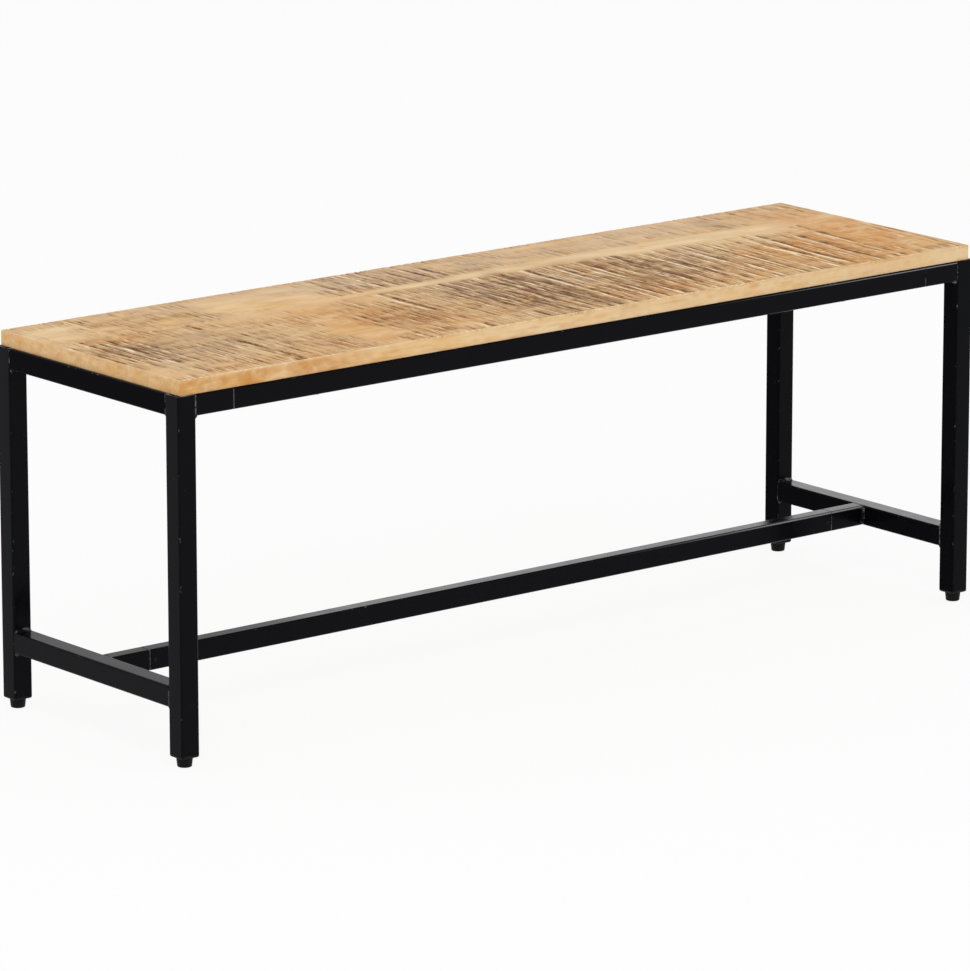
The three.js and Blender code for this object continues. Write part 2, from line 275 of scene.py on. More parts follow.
def mango_wood(wood):
    """Band-sawn mango under a thin matte lacquer: tan and honey grain that runs along the board.

    The eye gets three scales from it: broad stains, grain lines a few millimetres wide, and the saw marks
    across the board, with dirt and painted shade in their grooves and pale torn fibres with a painted
    highlight on their crests. The grooves are cut in the mesh, and the colour follows the same layers.
    """
    finish, tree = empty_tree(bpy.data.materials, "sawn_mango_matte_lacquer")
    place = add_node(tree, "TexCoord", out="Object")
    layers = {}
    for name in ("marks", "rough", *STAINS):
        layers[name] = add_node(tree, "Attribute", out="Fac", attribute_name=name)

    # Each noise: feature size in metres, stretch along X, Y and Z, detail, roughness, distortion.
    patterns = {
        "lines": (0.0030, (0.05, 1, 1), 4, 0.55, 0.6),  # grain lines 3 mm apart, drawn out along the board
        "bands": (0.0450, (0.25, 1, 1), 4, 0.55, 1.5),  # growth bands 45 mm wide
        "pores": (0.0014, (0.12, 1, 1), 2, 0.50, 0.0),  # pores 1.4 mm apart, coarser than real to show
        "cloud": (0.0180, (0.60, 1, 1), 5, 0.62, 0.4),  # ragged edges of the stains
        "smoke": (0.0550, (0.80, 1, 1), 4, 0.60, 0.8),  # blotches of darker wood
        "mottle": (0.0240, (0.70, 1, 1), 5, 0.65, 0.5),  # mottling inside the rough-sawn parts
        "torn": (0.0080, (0.60, 0.8, 1), 4, 0.68, 0.5),  # fibres that break the saw marks up
        "scores": (0.0032, (1, 0.10, 1), 4, 0.62, 0.2),  # finer saw scores between the deep ones
        "fuzz": (0.0007, (0.5, 1, 1), 2, 0.50, 0.0),  # fuzz of raised fibre ends
    }
    noise = {}
    for name, (size, stretch, detail, rough, distortion) in patterns.items():
        mapped = add_node(tree, "Mapping", {"Vector": place, "Scale": stretch})
        noise[name] = add_node(tree, "TexNoise", {
            "Vector": mapped, "Scale": 1 / size, "Detail": detail, "Roughness": rough,
            "Distortion": distortion,
        })

    # Saw marks: the mesh's deep ones, torn along their length, and the finer scores between them.
    torn = add_node(tree, "MapRange", {
        "Value": noise["torn"], "From Min": 0.35, "From Max": 0.64, "To Min": 0.35, "To Max": 1.5,
    })
    deep = add_node(tree, "Math", {0: layers["marks"], 1: torn}, operation="MULTIPLY")
    fine = add_node(tree, "MapRange", {
        "Value": noise["scores"], "From Min": 0.3, "From Max": 0.7, "To Min": -0.9, "To Max": 0.9,
    })
    fine = add_node(tree, "Math", {0: fine, 1: layers["rough"]}, operation="MULTIPLY")
    marks = add_node(tree, "Math", {0: deep, 1: fine}, operation="ADD")

    # The colours over the tan, one after the other: what brings each in and between which values, its least
    # and greatest share, and what limits that. They are the clean wood's honey bands, grain and pores, the
    # darker clouds of the rough-sawn parts, the stains with their ragged edges, and the saw marks, with a
    # painted highlight on their crests and dirt with painted shade in their grooves.
    tint = opaque(wood.tan)
    for source, low, high, least, most, limit, colour_value in (
        (noise["bands"], 0.40, 0.66, 0, 1.0, 1, wood.honey),
        (noise["lines"], 0.52, 0.74, 0, 0.45, 1, wood.grain),
        (noise["pores"], 0.60, 0.78, 0, 0.30, 1, wood.grain),
        (noise["cloud"], 0.30, 0.68, 0.2, 0.8, layers["rough"], wood.brown),
        (noise["smoke"], 0.50, 0.68, 0, 0.42, layers["rough"], wood.umber),
        (noise["mottle"], 0.50, 0.68, 0, 0.33, layers["rough"], wood.umber),
        (noise["cloud"], 0.28, 0.60, 0, 0.8, layers["blush"], wood.blush),
        (noise["cloud"], 0.28, 0.60, 0, 0.9, layers["cream"], wood.cream),
        (noise["cloud"], 0.28, 0.60, 0, 0.85, layers["grey"], wood.grey),
        (noise["cloud"], 0.28, 0.60, 0, 0.75, layers["umber"], wood.umber),
        (noise["cloud"], 0.28, 0.60, 0, 0.85, layers["amber"], wood.amber),
        # Painted highlight on the saw marks' crests, and dirt with painted shade in their grooves.
        (marks, 0.05, 1.2, 0, 0.9, 1, wood.ridge),
        (marks, -0.05, -1.7, 0, 0.92, 1, wood.kerf),
    ):
        share = add_node(tree, "MapRange", {
            "Value": source, "From Min": low, "From Max": high, "To Min": least, "To Max": most,
        })
        share = add_node(tree, "Math", {0: share, 1: limit}, operation="MULTIPLY", use_clamp=True)
        tint = add_node(tree, "Mix", {0: share, 6: tint, 7: opaque(colour_value)}, out=2, data_type="RGBA")

    # Fine relief: fibres along the board, the scores across it, and the fuzz left by the saw.
    relief = add_node(tree, "Math", {0: fine, 1: 0.5, 2: noise["lines"]}, operation="MULTIPLY_ADD")
    relief = add_node(tree, "Math", {0: noise["fuzz"], 1: 0.5, 2: relief}, operation="MULTIPLY_ADD")
    bump = add_node(tree, "Bump", {"Height": relief, "Strength": 0.35, "Distance": 0.0004})
    gloss = add_node(tree, "MapRange", {"Value": noise["lines"], "To Min": 0.55, "To Max": 0.75})
    shader = add_node(tree, "BsdfPrincipled", {
        "Base Color": tint, "Roughness": gloss, "IOR": 1.45, "Specular IOR Level": 0.12, "Normal": bump,
    })
    add_node(tree, "OutputMaterial", {"Surface": shader}, out=None)
    return finish


def powder_coat(steel):
    """Black powder coat on steel tube: semi-gloss, with the fine orange-peel skin that baking leaves.

    The eye sees near black that turns to a soft grey shine at a low angle. The peel is 1.2 mm across. At
    the arrises and the cut ends the coat is thinner and has rubbed to a dull grey in places. A painted
    glint, the bare steel colour, lies along some upper front arrises towards the right, and a lower
    specular level paints shade on some left-looking sides and on the tops under the seat.
    """
    finish, tree = empty_tree(bpy.data.materials, "black_powder_coated_steel")
    place = add_node(tree, "TexCoord", out="Object")
    edge = add_node(tree, "Attribute", out="Fac", attribute_name="edge")
    peel = add_node(tree, "TexNoise", {"Vector": place, "Scale": 1 / 0.0012, "Detail": 2})
    bump = add_node(tree, "Bump", {"Height": peel, "Strength": 0.15, "Distance": 0.0002})
    handling = add_node(tree, "TexNoise", {"Vector": place, "Scale": 1 / 0.03, "Detail": 4})
    gloss = add_node(tree, "MapRange", {
        "Value": handling, "From Min": 0.3, "From Max": 0.7, "To Min": 0.15, "To Max": 0.26,
    })
    scuffs = add_node(tree, "TexNoise", {
        "Vector": place, "Scale": 1 / 0.009, "Detail": 6, "Roughness": 0.72,
    })
    wear = add_node(tree, "Math", {0: edge, 1: 0.28, 2: scuffs}, operation="MULTIPLY_ADD")
    # Where the "flat" layer is 1 the specular level drops: painted shade on some left-looking sides and
    # tops.
    flat = add_node(tree, "Attribute", out="Fac", attribute_name="flat")
    shine = add_node(tree, "MapRange", {"Value": flat, "To Min": steel.shine, "To Max": steel.dull})
    wear_and_glint = add_node(tree, "MapRange", {"Value": wear, "From Min": 0.7, "From Max": 0.84, "To Max": 0.8})
    # The "rubbed" layer paints a glint: the bare steel colour as a bright line along an upper front arris.
    rubbed = add_node(tree, "Attribute", out="Fac", attribute_name="rubbed")
    wear_and_glint = add_node(tree, "Math", {0: wear_and_glint, 1: rubbed}, operation="MAXIMUM")
    tint = add_node(tree, "Mix", {
        0: wear_and_glint, 6: opaque(steel.coat), 7: opaque(steel.bare),
    }, out=2, data_type="RGBA")
    shader = add_node(tree, "BsdfPrincipled", {
        "Base Color": tint, "Roughness": gloss, "IOR": 1.5, "Specular IOR Level": shine,
        "Normal": bump,
    })
    add_node(tree, "OutputMaterial", {"Surface": shader}, out=None)
    return finish


def moulded_plastic(steel):
    """Injection-moulded black polyethylene: even, a little waxy, with a faint mould texture of 0.6 mm."""
    finish, tree = empty_tree(bpy.data.materials, "black_moulded_polyethylene")
    place = add_node(tree, "TexCoord", out="Object")
    grit = add_node(tree, "TexNoise", {"Vector": place, "Scale": 1 / 0.0006, "Detail": 2})
    bump = add_node(tree, "Bump", {"Height": grit, "Strength": 0.2, "Distance": 0.0001})
    rubbed = add_node(tree, "TexNoise", {"Vector": place, "Scale": 1 / 0.006, "Detail": 3})
    gloss = add_node(tree, "MapRange", {"Value": rubbed, "To Min": 0.42, "To Max": 0.6})
    tint = add_node(tree, "Mix", {
        0: rubbed, 6: opaque(steel.plastic), 7: opaque(srgb("161617")),
    }, out=2, data_type="RGBA")
    shader = add_node(tree, "BsdfPrincipled", {
        "Base Color": tint, "Roughness": gloss, "IOR": 1.5, "Specular IOR Level": 0.08, "Normal": bump,
    })
    add_node(tree, "OutputMaterial", {"Surface": shader}, out=None)
    return finish


def plated_steel(name, tint, low, high):
    """Plated or blackened screw steel: metal with a soft, slightly cloudy shine."""
    finish, tree = empty_tree(bpy.data.materials, name)
    place = add_node(tree, "TexCoord", out="Object")
    cloud = add_node(tree, "TexNoise", {"Vector": place, "Scale": 1 / 0.0015, "Detail": 3})
    gloss = add_node(tree, "MapRange", {"Value": cloud, "To Min": low, "To Max": high})
    shader = add_node(tree, "BsdfPrincipled", {
        "Base Color": opaque(tint), "Metallic": 1, "Roughness": gloss,
    })
    add_node(tree, "OutputMaterial", {"Surface": shader}, out=None)
    return finish


def zinc_plate(steel):
    return plated_steel("bright_zinc_plated_steel", steel.zinc, 0.25, 0.42)


def black_oxide(steel):
    return plated_steel("black_oxide_steel", steel.oxide, 0.35, 0.5)


MADE = {}


def material(maker, settings):
    """The material that a maker returns, made once and shared by every piece that wants it."""
    if maker not in MADE:
        MADE[maker] = maker(settings)
    return MADE[maker]


# ------------------------------------------------------------------------------ seat boards

# Where each stain lies on the seat, in millimetres from its middle: X, Y, half lengths along X and Y, and
# how strong it is.
STAINS = {
    "blush": [
        (100, 150, 520, 40, 0.55), (230, 105, 380, 30, 0.4), (-120, 120, 130, 50, 0.3),
        (380, 135, 150, 40, 0.3), (-280, 150, 160, 25, 0.3), (60, 0, 60, 90, 0.3),
        (-60, 20, 60, 50, 0.3), (-480, -90, 90, 60, 0.25),
    ],
    "grey": [
        (-460, -20, 85, 80, 0.75), (-546, -25, 50, 45, 0.5), (-45, -5, 52, 60, 0.9),
        (278, -15, 62, 45, 0.9), (435, 125, 18, 42, 0.7), (-90, 120, 100, 45, 0.35),
        (250, 125, 160, 50, 0.25), (110, 0, 60, 60, 0.4), (200, -110, 90, 40, 0.3),
        (60, 120, 160, 40, 0.2), (-545, -90, 50, 60, 0.4),
    ],
    "umber": [
        (-477, 110, 10, 9, 0.7), (-425, 108, 12, 9, 0.7), (-382, 100, 18, 16, 0.6),
        (437, 106, 9, 11, 1.0), (-21, -89, 30, 30, 1.0), (210, -8, 32, 52, 0.8),
        (-198, -55, 75, 55, 0.4), (150, -90, 60, 80, 0.45), (185, -100, 150, 30, 0.45),
        (-540, -10, 60, 60, 0.35), (42, -30, 18, 120, 0.8), (-30, 90, 60, 12, 0.4),
        (-20, -60, 80, 100, 0.5), (-185, -75, 55, 50, 0.4), (0, -150, 60, 15, 0.4),
        (30, -20, 35, 90, 0.3), (150, 45, 60, 25, 0.45), (75, -145, 60, 30, 0.4),
        (-220, 140, 70, 40, 0.2), (25, -25, 35, 60, 0.35), (270, -45, 85, 35, 0.35),
        (-325, -115, 40, 50, 0.3), (50, 140, 60, 30, 0.25),
    ],
    "amber": [
        (457, -100, 66, 75, 0.9), (560, 0, 50, 150, 0.45), (-505, 48, 95, 13, 0.6),
        (520, 110, 60, 50, 0.3), (380, -40, 40, 40, 0.5), (-235, -40, 90, 110, 0.7),
        (-590, -60, 30, 90, 0.4), (-130, -110, 60, 50, 0.3), (540, 0, 70, 110, 0.45),
        (450, -80, 110, 90, 0.4), (200, -120, 130, 45, 0.6), (320, -100, 60, 40, 0.3),
        (-350, -150, 230, 25, 0.4), (-400, 20, 180, 30, 0.2), (470, -100, 60, 80, 0.7),
        (125, 45, 40, 30, 0.4), (120, -145, 60, 25, 0.4), (-500, 100, 60, 35, 0.25),
        (175, 0, 40, 60, 0.3),
    ],
    "cream": [
        (300, 68, 300, 16, 1.0), (-10, 66, 190, 8, 0.8), (-565, 112, 45, 55, 0.5),
        (560, 72, 45, 16, 0.7), (-265, 120, 75, 45, 0.3), (-270, 48, 110, 22, 0.6),
        (-580, -115, 45, 60, 0.7), (490, 42, 130, 20, 0.45), (-550, 142, 60, 28, 0.4),
        (-582, 48, 26, 20, 0.6), (345, 45, 55, 18, 0.4), (550, 100, 60, 30, 0.35),
        (60, -140, 120, 20, 0.2), (-330, -20, 45, 60, 0.4),
    ],
}
# Where the saw left the boards rougher than usual, or smoother (negative), laid out in the same way.
SAWING = [
    (-265, 118, 78, 50, -1.0), (270, 68, 340, 17, -1.6), (-60, 66, 160, 9, -1.0),
    (-280, -95, 34, 60, -1.1), (-570, 110, 40, 50, -0.5), (-450, 5, 65, 35, -0.5),
    (-270, 45, 110, 22, -0.5), (560, 20, 40, 130, -0.3), (250, 125, 300, 45, -0.3),
    (-546, -25, 50, 45, 0.5), (-200, -55, 75, 55, 0.4), (-20, -50, 80, 110, 0.6),
    (150, -70, 60, 100, 0.4), (260, -60, 120, 100, 0.4), (430, -90, 80, 80, 0.3),
    (-90, 98, 100, 20, 0.8), (-440, -140, 130, 30, 0.1), (490, 42, 130, 25, -0.4),
    (-585, -120, 40, 60, -0.4), (150, 45, 60, 25, 0.3), (40, -60, 60, 100, 0.4),
    (-250, -20, 50, 50, -0.4), (540, -60, 50, 110, -0.3), (375, -20, 28, 60, -0.35),
    (330, -125, 40, 50, -0.3),
]
# The deepest saw marks, by where each starts at the back glue line, in millimetres from the middle.
BOLD_MARKS = {
    "front": [
        -592, -570, -540, -430, -420, -262, -137, -48, 39, 58, 83, 133, 164, 216, 264, 318, 360, 391,
        414, 437, 476, 514,
    ],
    "back": [
        -509, -394, -162, -142, -104, -85, -54, -31, -6, 180, 287, 322, 380,
    ],
}
# How far the marks lean back at the right end, and their strength, in front of that line and behind it.
LEAN_AND_FORCE = {"front": (0.075, 1), "back": (0.01, 0.7)}
MARKS_REACH = 630  # the marks are laid out this far to either side of the middle, in millimetres


def patch_field(x, y, patches):
    """The sum of soft-edged ellipses at points x, y in millimetres."""
    total = np.zeros_like(x)
    for centre_x, centre_y, half_x, half_y, strength in patches:
        reach = ((x - centre_x) / half_x) ** 2 + ((y - centre_y) / half_y) ** 2
        total += strength * np.exp(-(reach**1.5))
    return total


def soft_noise(rng, x, y, wave_x, wave_y, count=24):
    """Smooth noise of about -1 to 1 from a sum of waves with the given lengths in millimetres."""
    total = np.zeros_like(x)
    for _ in range(count):
        across = rng.normal(0, 1) * math.tau / wave_x
        along = rng.normal(0, 1) * math.tau / wave_y
        total += np.cos(across * x + along * y + rng.uniform(0, math.tau))
    return total / math.sqrt(count / 2) / 1.6


def saw_line(rng, x, depth, centre, half, force, stroke):
    """One saw mark: a groove with a torn crest on its left, that swells and fades along its length.

    In the colour the crest is a painted highlight, and the groove is dirt with painted shade.
    """
    waves = np.zeros_like(depth)
    for _ in range(4):
        wave = stroke * rng.uniform(0.6, 3.0)
        waves += np.cos(math.tau * depth / wave + rng.uniform(0, math.tau)) / 2.2
    wander = 0.3 * half * np.sin(depth / rng.uniform(8, 30) + rng.uniform(0, math.tau))
    offset = (x - centre + wander) / half
    crest = rng.uniform(0.4, 1.1) * np.exp(-((offset + 1.8) ** 2))
    return force * np.clip(0.7 + 0.55 * waves, 0, 1.2) * (crest - np.exp(-(offset**2)))


def saw_marks(x, y, joint_y, wood):
    """The saw's work at points x, y in millimetres: how rough it is, and how deep (-1) or proud (+1).

    The boards behind and in front of the back glue line were sawn apart, so each side has its own marks.
    To the right the marks in front lean back by a few degrees, and are broader and lie further apart.
    """
    rng = np.random.default_rng(41)
    pitch, width = wood.mark_spacing / MM, wood.mark_width / MM
    rough = np.clip(0.65 + patch_field(x, y, SAWING) + 0.3 * soft_noise(rng, x, y, 90, 45), 0, 1.2)
    marks = np.zeros_like(x)
    for name, (lean_most, strength) in LEAN_AND_FORCE.items():
        side = (y > joint_y) if name == "back" else (y <= joint_y)
        depth = np.abs(y[side] - joint_y)
        lean = lean_most * np.clip((x[side] + 350) / 600, 0.08, 1)
        along = x[side] + lean * depth
        total = np.zeros_like(depth)
        lines = [(centre, width * rng.uniform(0.85, 1.2), rng.uniform(0.75, 1.15), 110)
                 for centre in BOLD_MARKS[name]]
        for spacing, half, least, most, stroke in (
            (pitch, 0.8 * width, 0.3, 0.85, 80),
            (0.42 * pitch, 0.4 * width, 0.2, 0.65, 30),
        ):
            centre = -MARKS_REACH
            while centre < MARKS_REACH:
                spread = 1 + 0.3 * centre / 600
                centre += spacing * rng.uniform(0.6, 1.4) * spread
                lines.append((
                    centre, half * rng.uniform(0.75, 1.3) * spread, rng.uniform(least, most), stroke,
                ))
        for centre, half, force, stroke in lines:
            stroke *= 0.45 + 0.55 * min(1, max(0, (centre + 350) / 400)) if name == "front" else 0.6
            near = np.abs(along - centre) < 5 * half
            total[near] += saw_line(rng, along[near], depth[near], centre, half, force, stroke)
        marks[side] = total * strength
    # At the left and behind the glue line the crests hardly stand out, and the grooves are deeper.
    crests = 0.55 + 0.4 * np.clip((x + 250) / 450, 0, 1) * (y <= joint_y)
    marks *= np.where(marks > 0, crests, 1.16 - 0.16 * crests)
    # In the middle they are at their deepest.
    marks *= np.where(marks < 0, 1 + 0.35 * patch_field(x, y, [(5, -60, 60, 110, 1)]), 1)
    return rough, np.clip(2.15 * marks * rough, -2, 1.9)


def board_mesh(low, high, outer_front, outer_back, wood):
    """A board with a fine grid for its top, rounded outer edges, and plain sides and underside."""
    bm = bmesh.new()
    radius = wood.arris_radius
    size = high - low
    columns = round(size.x / wood.grid_step)
    rows = round(size.y / (2.2 * wood.grid_step))
    bmesh.ops.create_grid(bm, x_segments=columns, y_segments=rows, size=0.5)
    bmesh.ops.scale(bm, vec=(size.x, size.y, 1), verts=bm.verts)
    bmesh.ops.translate(bm, vec=((low.x + high.x) / 2, (low.y + high.y) / 2, high.z), verts=bm.verts)
    # The sides go down from the top's outline: first the rounded arris, then the planed face.
    inset = {-1: radius if outer_front else 0, 1: radius if outer_back else 0}
    for vert in bm.verts:
        vert.co.x = min(max(vert.co.x, low.x + radius), high.x - radius)
        vert.co.y = min(max(vert.co.y, low.y + inset[-1]), high.y - inset[1])
    outline = [edge for edge in bm.edges if edge.is_boundary]
    # Each loop of the side: how far it has come out to the full outline, and how far down.
    drops = [(math.sin(a), 1 - math.cos(a)) for a in (math.pi / 6, math.pi / 3, math.pi / 2)]
    loops = [(out, radius * down) for out, down in drops]
    loops += [(1, size.z * share) for share in (0.25, 0.5, 0.75)] + [(1, size.z)]
    reached = 1.01 * radius  # a vertex this close to an outer side belongs to it
    for out, down in loops:
        grown = bmesh.ops.extrude_edge_only(bm, edges=outline)["geom"]
        outline = [edge for edge in only(grown, EDGE) if edge.is_boundary]
        for vert in only(grown, VERT):
            vert.co.z = high.z - down
            for i, near, far in ((0, True, True), (1, outer_front, outer_back)):
                if near and vert.co[i] < low[i] + reached:
                    vert.co[i] = low[i] + radius * (1 - out)
                if far and vert.co[i] > high[i] - reached:
                    vert.co[i] = high[i] - radius * (1 - out)
    bmesh.ops.holes_fill(bm, edges=outline, sides=0)
    bmesh.ops.remove_doubles(bm, verts=bm.verts, dist=1e-6)
    return bm


def paint_board(piece, low, high, joint_y, wood):
    """Cuts the saw marks into the top and stores the stains and the saw's work with the mesh."""
    mesh = piece.data
    places = np.empty(len(mesh.vertices) * 3)
    mesh.vertices.foreach_get("co", places)
    places = places.reshape(-1, 3)
    x, y = places[:, 0] / MM, places[:, 1] / MM
    below = (high.z - places[:, 2]) / MM  # millimetres under the top face
    # The marks fade out over the arris and are gone on the planed edges and the underside.
    top = np.clip(1.25 - below / (1.6 * wood.arris_radius / MM), 0, 1)
    # They stop just short of the seat's front and of its ends too, where sanding has taken them off.
    front_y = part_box("seat_board_front")[0].y / MM
    inside = np.minimum(np.minimum(x - low.x / MM, high.x / MM - x), y - front_y)
    rough, marks = saw_marks(x, y, joint_y, wood)
    marks *= np.clip((inside - 1.5) / 3.5, 0.1, 1)
    layers = {"marks": marks * top, "rough": rough * top}
    rng = np.random.default_rng(7)
    waves = 0.05 * soft_noise(rng, x, y, 60, 40)
    groove = np.clip(-marks, 0, 1.4) * wood.mark_depth / MM
    sink = (0.12 + waves + groove - 0.1 * np.clip(marks, 0, 1)) * top
    places[:, 2] -= np.clip(sink, 0, None) * MM
    mesh.vertices.foreach_set("co", places.ravel())
    edge = 1 - top
    for name, patches in STAINS.items():
        field = patch_field(x, y, patches) + 0.12 * soft_noise(rng, x, y, 120, 60)
        layers[name] = np.clip(field, 0, 1) * (0.2 + 0.8 * top)
    # A dark stain runs through the crests too, and weakens their painted highlight.
    layers["marks"] *= np.where(marks > 0, 1 - 0.6 * layers["umber"], 1)
    # The planed edges: paler towards the right along the front, golden towards the left, and golden end
    # grain at the left end, all of it blotched. The arris has rubbed pale.
    arris = np.exp(-(((below - 0.5) / 0.5) ** 2)) * (below > 0.1) * (below < 1.5)
    front = edge * (y < front_y + 0.5)
    left_end = edge * np.clip((low.x / MM + 2 - x) / 2, 0, 1)
    blotch = soft_noise(rng, x + y, below, 35, 14)
    golden = front * (0.95 * np.clip((-280 - x) / 150, 0, 1) + 0.3 * blotch)
    golden += left_end * (0.45 + 0.3 * blotch)
    layers["amber"] = np.maximum(layers["amber"], np.clip(golden, 0, 1))
    layers["grey"] = np.maximum(layers["grey"], np.clip(0.45 * golden, 0, 1) * (left_end == 0))
    pale = front * np.clip(0.55 + x / 900 - 0.2 * blotch, 0, 0.85)
    layers["cream"] = np.maximum(layers["cream"], np.maximum(pale, 0.9 * arris))
    layers["marks"] += 0.8 * arris * np.clip(0.7 + 0.5 * blotch, 0, 1)
    for name, values in layers.items():
        attribute = mesh.attributes.new(name, "FLOAT", "POINT")
        attribute.data.foreach_set("value", values.astype(np.float32))
    mesh.update()


class BENCH_OT_seat_boards(bpy.types.Operator):
    """Makes the three sawn boards of the seat"""

    bl_idname = "bench.seat_boards"
    bl_label = "Seat boards"

    def execute(self, context):
        wood = context.scene.bench_wood
        finish = material(mango_wood, wood)
        joint_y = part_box("seat_board_back")[0].y / MM
        for name in ("front", "middle", "back"):
            node = f"seat_board_{name}"
            low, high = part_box(node)
            bm = board_mesh(low, high, name == "front", name == "back", wood)
            piece = mesh_piece(f"sawn_board_{name}", bm, finish, [node])
            paint_board(piece, low, high, joint_y, wood)
            piece.data.shade_smooth()
            piece.data.set_sharp_from_angle(angle=math.radians(50))
        return {"FINISHED"}


# ------------------------------------------------------------------------------ steel tubes

TUBES = (
    [(f"leg_{row}_{end}", "z") for row in ROWS for end in ENDS]
    + [(f"{kind}_{end}", "y") for kind in ("cross_rail", "end_stretcher") for end in ENDS]
    + [(f"stub_{run}_{end}", "x") for run in (*ROWS, "lower") for end in ENDS]
    + [("front_rail", "x"), ("rear_rail", "x"), ("lower_stretcher", "x")]
)


# Tubes whose side that looks left gets a lower specular level: painted shade, darker reflections there.
LEFT_SIDES_SHADED = ["cross_rail_left"] + [node for node, _ in TUBES if node.endswith("_right")]


# Tubes whose upper front arris carries a painted glint, a bright line in the bare steel colour that grows
# towards the right, each with the tilt in degrees, from straight up, of the coat at the middle of the line.
PAINTED_GLINT = {"front_rail": 75, "stub_front_right": 75, "lower_stretcher": 60, "stub_lower_right": 60}
GLINT_START, GLINT_FULL = 0.15, 0.50  # metres to the right of the middle
# Tubes that carry the seat: their tops get a lower specular level, painted shade under the seat's edge.
TOPS_SHADED_UNDER_SEAT = ("front_rail", "rear_rail", "stub_front_left", "stub_front_right")


def paint_arris_glint(bm, low, high, tilt, steel):
    """Writes the "rubbed" layer, a painted glint along the upper front arris, full where it is 1 or more."""
    layer = bm.verts.layers.float.new("rubbed")
    # Long edges carry the rise from left to right only if there are vertices along them.
    arrises = [edge for edge in edges_along(bm, AXES["x"]) if edge.calc_length() > 0.1]
    bmesh.ops.subdivide_edges(bm, edges=arrises, cuts=11)
    for vert in bm.verts:
        above = max(0, (vert.co.z - high.z) / steel.corner + 1)
        before = max(0, (low.y - vert.co.y) / steel.corner + 1)
        along = min(1, max(0, vert.co.x - GLINT_START) / (GLINT_FULL - GLINT_START)) ** 2
        off = abs(math.degrees(math.atan2(before, above)) - tilt)
        vert[layer] = 2 * along * max(0, 1 - off / (90 - tilt)) * (before > 0)


def tube_mesh(low, high, axis, steel):
    """An open rectangular tube with rounded corners and a fine chamfer round each cut end.

    Its "edge" layer is 1 round the cut ends, a third along the middle of each arris, and 0 on the flats.
    """
    along = AXES[axis]
    bm = box_mesh(low, high)
    bevel(bm, edges_along(bm, along), steel.corner, 6)
    caps = faces_facing(bm, along) + faces_facing(bm, -along)
    rims = {edge for cap in caps for edge in cap.edges}
    bevel(bm, list(rims), steel.rim, 2)
    caps = [max(faces_facing(bm, way), key=lambda face: face.calc_area()) for way in (along, -along)]
    bmesh.ops.inset_individual(bm, faces=caps, thickness=steel.wall - steel.rim)
    bores = [edge for cap in caps for edge in cap.edges]
    bmesh.ops.delete(bm, geom=caps, context="FACES_ONLY")
    bmesh.ops.bridge_loops(bm, edges=bores)
    bmesh.ops.recalc_face_normals(bm, faces=bm.faces)
    layer = bm.verts.layers.float.new("edge")
    centre, half = (low + high) / 2, (high - low) / 2
    across = [i for i in range(3) if not along[i]]
    length_index = 3 - sum(across)
    for vert in bm.verts:
        place = vert.co - centre
        beyond = [max(0, abs(place[i]) - half[i] + steel.corner) / steel.corner for i in across]
        arris = min(0.33, 0.8 * beyond[0] * beyond[1])
        at_end = abs(place[length_index]) > half[length_index] - 0.4 * steel.rim
        vert[layer] = max(arris, at_end)
    return bm


class BENCH_OT_steel_tubes(bpy.types.Operator):
    """Makes the legs, rails, stubs and stretchers from square tube"""

    bl_idname = "bench.steel_tubes"
    bl_label = "Steel tubes"

    def execute(self, context):
        steel = context.scene.bench_steel
        finish = material(powder_coat, steel)
        for node, axis in TUBES:
            low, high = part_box(node)
            bm = tube_mesh(low, high, axis, steel)
            # The "flat" layer lowers the specular level as painted shade on left-looking sides and tops
            # under the seat.
            flat = bm.faces.layers.float.new("flat")
            for face in bm.faces:
                side = (node in LEFT_SIDES_SHADED) * -face.normal.x
                face[flat] = max(0, side, (node in TOPS_SHADED_UNDER_SEAT) * face.normal.z)
            # A painted glint along the upper front arris of these tubes.
            if node in PAINTED_GLINT:
                paint_arris_glint(bm, low, high, PAINTED_GLINT[node], steel)
            smooth(mesh_piece(f"coated_{node}", bm, finish, [node]))
        return {"FINISHED"}


# ------------------------------------------------------------------------------ welds


def weld_bead(bm, start, end, radius, steel, rng):
    """Adds a rippled bead between two points to bm: a round rod that tapers at its ends."""
    run = end - start
    ripples = max(3, round(run.length / steel.ripple))
    steps = 6 * ripples
    phase = rng.uniform(0, math.tau)
    profile = [(0, 0)]
    for i in range(steps + 1):
        share = i / steps
        scallop = abs(math.sin(math.pi * ripples * share + phase))
        taper = min(1, 5 * min(share, 1 - share) + 0.6)
        swell = (0.86 + 0.14 * scallop) * taper * (1 + 0.06 * math.sin(9 * share + phase))
        profile.append((radius * swell, run.length * share))
    profile.append((0, run.length))
    bead = bmesh.new()
    revolve(bead, profile, Vector((0, 0, 0)), 14)
    turn = run.to_track_quat("Z", "Y").to_matrix().to_4x4()
    bmesh.ops.transform(bead, matrix=Matrix.Translation(start) @ turn, verts=bead.verts)
    mesh = bpy.data.meshes.new("bead")
    bead.to_mesh(mesh)
    bead.free()
    bm.from_mesh(mesh)
    bpy.data.meshes.remove(mesh)


def weld_joint(bm, node, axis, toward, fillets, flush, steel, rng):
    """Welds the end of a tube to its neighbour, with fillets on some sides and flush beads on others."""
    low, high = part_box(node)
    way = AXES[axis] * toward
    centre, half = (low + high) / 2, (high - low) / 2
    face = centre + way * abs(half.dot(way))
    for side in (*fillets, *flush):
        normal = Vector(side)
        across = way.cross(normal)
        reach = abs(half.dot(across)) - 0.5 * steel.corner
        line = face + normal * abs(half.dot(normal))
        if side in fillets:
            radius = 1.25 * steel.fillet
            line += (way - normal) * 0.3 * steel.fillet
        else:
            radius = steel.flush
            line += way * 0.7 * radius - normal * 1.08 * radius
        weld_bead(bm, line - across * reach, line + across * reach, radius, steel, rng)


